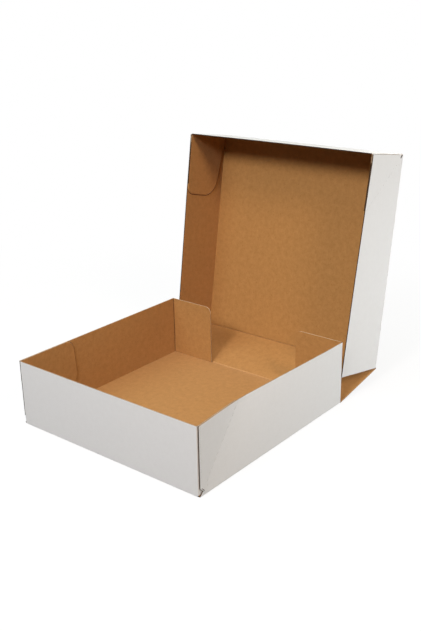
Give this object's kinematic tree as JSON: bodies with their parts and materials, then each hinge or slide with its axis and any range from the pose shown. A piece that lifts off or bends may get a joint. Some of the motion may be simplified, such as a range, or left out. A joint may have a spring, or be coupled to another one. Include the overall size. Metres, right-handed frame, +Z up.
{
  "type": "shipping box",
  "caption": "Square one-piece corrugated shipping box with a hinged lid, glued front corners and folding rear flaps, white outside and kraft inside, shown open",
  "frame": {"origin": "on the underside of the floor panel, under the middle of the tray", "axes": "+X to the right along the front wall, +Y from the front wall to the lid's hinge, +Z up"},
  "size_m": [0.3656, 0.5234, 0.396],
  "materials": {
    "white_board": "matte",
    "kraft_board": "matte"
  },
  "bodies": {
    "tray": {"tray": "white_board"},
    "left_rear_flap": {"left_rear_flap": "kraft_board"},
    "right_rear_flap": {"right_rear_flap": "kraft_board"},
    "back_panel": {"back_panel": "kraft_board"},
    "lid": {"lid": "white_board"}
  },
  "joints": [
    {"name": "back_fold", "type": "hinge", "parent": "tray", "child": "back_panel", "pos_m": [0, 0.1814, 0], "axis": [1, 0, 0], "range_deg": [-11.8, 78.2]},
    {"name": "lid_fold", "type": "hinge", "parent": "back_panel", "child": "lid", "pos_m": [0, 0.28741, 0.02215], "axis": [1, 0, 0], "range_deg": [-69.2, 20.8]},
    {"name": "left_flap_fold", "type": "hinge", "parent": "tray", "child": "left_rear_flap", "pos_m": [-0.178, 0.178, 0.0532], "axis": [0, 0, -1], "range_deg": [0, 85]},
    {"name": "right_flap_fold", "type": "hinge", "parent": "tray", "child": "right_rear_flap", "pos_m": [0.178, 0.178, 0.0532], "axis": [0, 0, 1], "range_deg": [0, 85]}
  ]
}
